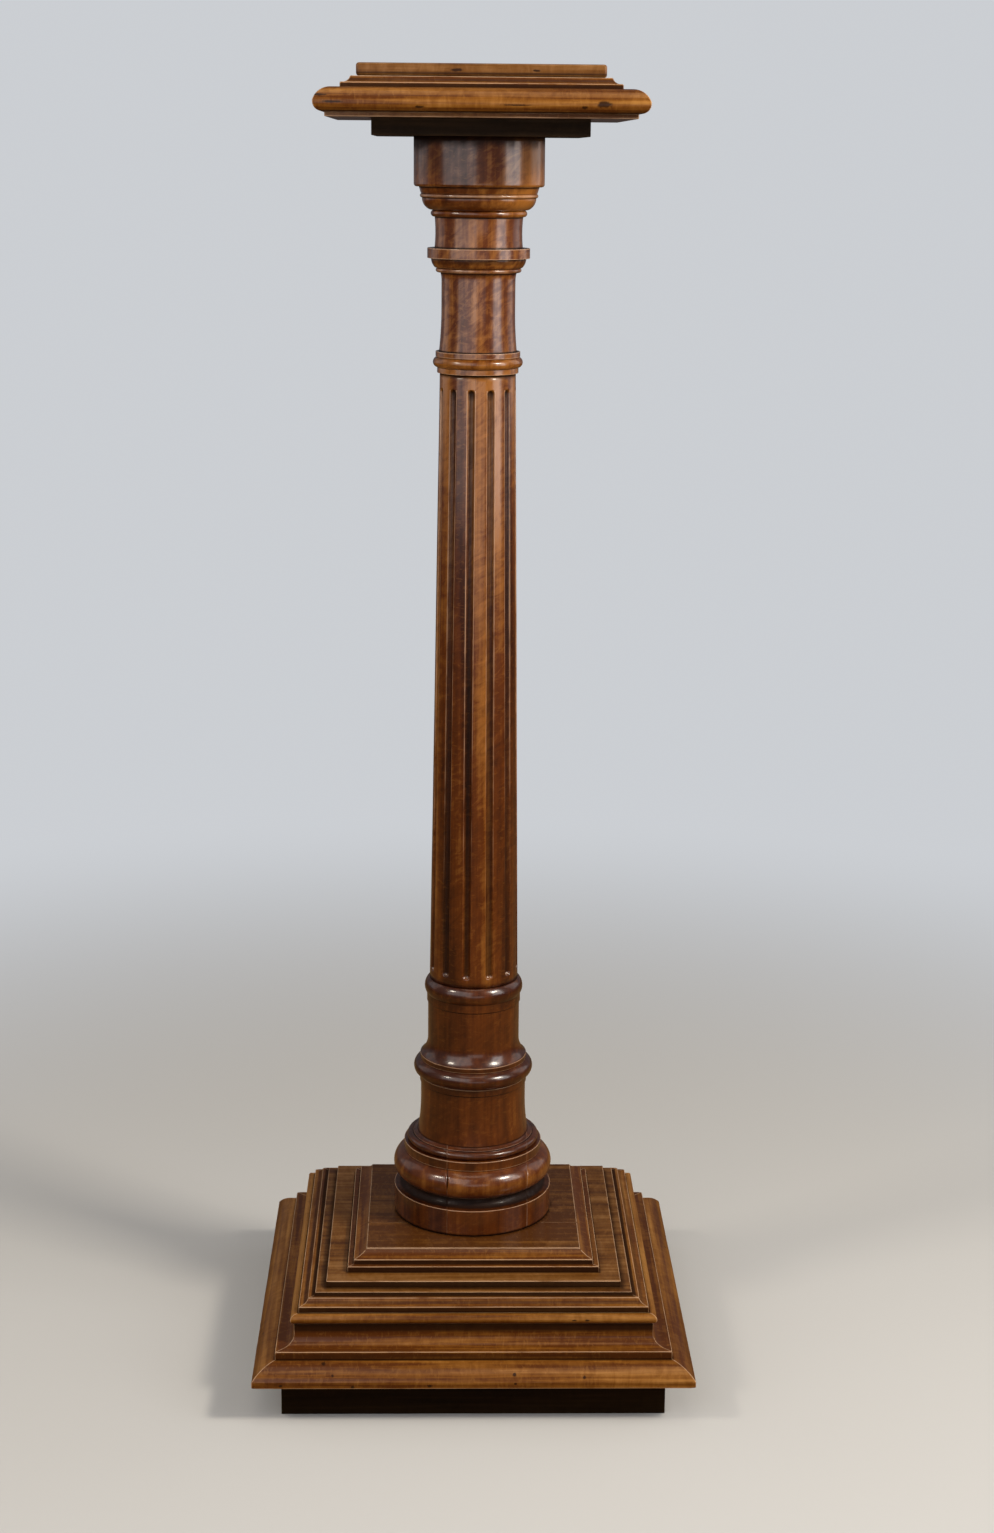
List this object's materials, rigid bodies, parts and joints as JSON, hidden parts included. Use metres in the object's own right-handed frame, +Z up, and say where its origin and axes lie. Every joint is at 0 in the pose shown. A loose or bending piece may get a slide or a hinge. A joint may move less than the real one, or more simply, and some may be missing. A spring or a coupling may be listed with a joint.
{
  "type": "pedestal column stand",
  "caption": "Tall wooden pedestal: a stepped, moulded square base, a turned and fluted column and a small moulded square top to stand something on.",
  "frame": {"origin": "centre of the square base on the floor", "axes": "+Z up along the column's axis, -Y towards the front, +X to the right seen from the front"},
  "size_m": [0.39, 0.39, 1.16],
  "materials": {
    "moulding_wood": "varnished long-grain walnut, satin, pale on the worn edges and dark in the hollows",
    "board_wood": "varnished walnut boards, satin, grain from side to side",
    "turned_wood": "varnished figured walnut, semi-gloss, grain along the column",
    "dark_wood": "nearly black stained wood, dull",
    "inner_wood": "bare softwood, unfinished",
    "screw_steel": "dulled steel wood screws"
  },
  "bodies": {
    "root": {"base_lower_moulding_front": "moulding_wood", "base_lower_moulding_right": "moulding_wood", "base_lower_moulding_back": "moulding_wood", "base_lower_moulding_left": "moulding_wood", "base_middle_moulding_front": "moulding_wood", "base_middle_moulding_right": "moulding_wood", "base_middle_moulding_back": "moulding_wood", "base_middle_moulding_left": "moulding_wood", "base_bullnose_front": "moulding_wood", "base_bullnose_right": "moulding_wood", "base_bullnose_back": "moulding_wood", "base_bullnose_left": "moulding_wood", "base_upper_moulding_front": "moulding_wood", "base_upper_moulding_right": "moulding_wood", "base_upper_moulding_back": "moulding_wood", "base_upper_moulding_left": "moulding_wood", "base_cap_moulding_front": "moulding_wood", "base_cap_moulding_right": "moulding_wood", "base_cap_moulding_back": "moulding_wood", "base_cap_moulding_left": "moulding_wood", "top_main_moulding_front": "moulding_wood", "top_main_moulding_right": "moulding_wood", "top_main_moulding_back": "moulding_wood", "top_main_moulding_left": "moulding_wood", "top_upper_moulding_front": "moulding_wood", "top_upper_moulding_right": "moulding_wood", "top_upper_moulding_back": "moulding_wood", "top_upper_moulding_left": "moulding_wood", "base_core_board": "board_wood", "base_tread_board": "board_wood", "base_cap_board_front": "board_wood", "base_cap_board_back": "board_wood", "top_panel": "board_wood", "top_lip_board": "board_wood", "foot_left": "turned_wood", "foot_middle": "turned_wood", "foot_right": "turned_wood", "shaft": "turned_wood", "capital": "turned_wood", "plinth_front": "dark_wood", "plinth_right": "dark_wood", "plinth_back": "dark_wood", "plinth_left": "dark_wood", "top_cleat": "dark_wood", "base_bottom_board": "inner_wood", "top_core_board": "inner_wood", "corner_blocks": "inner_wood", "glue_blocks": "inner_wood", "tenon_wedges": "inner_wood", "base_screws": "screw_steel", "top_screws": "screw_steel"}
  },
  "joints": []
}
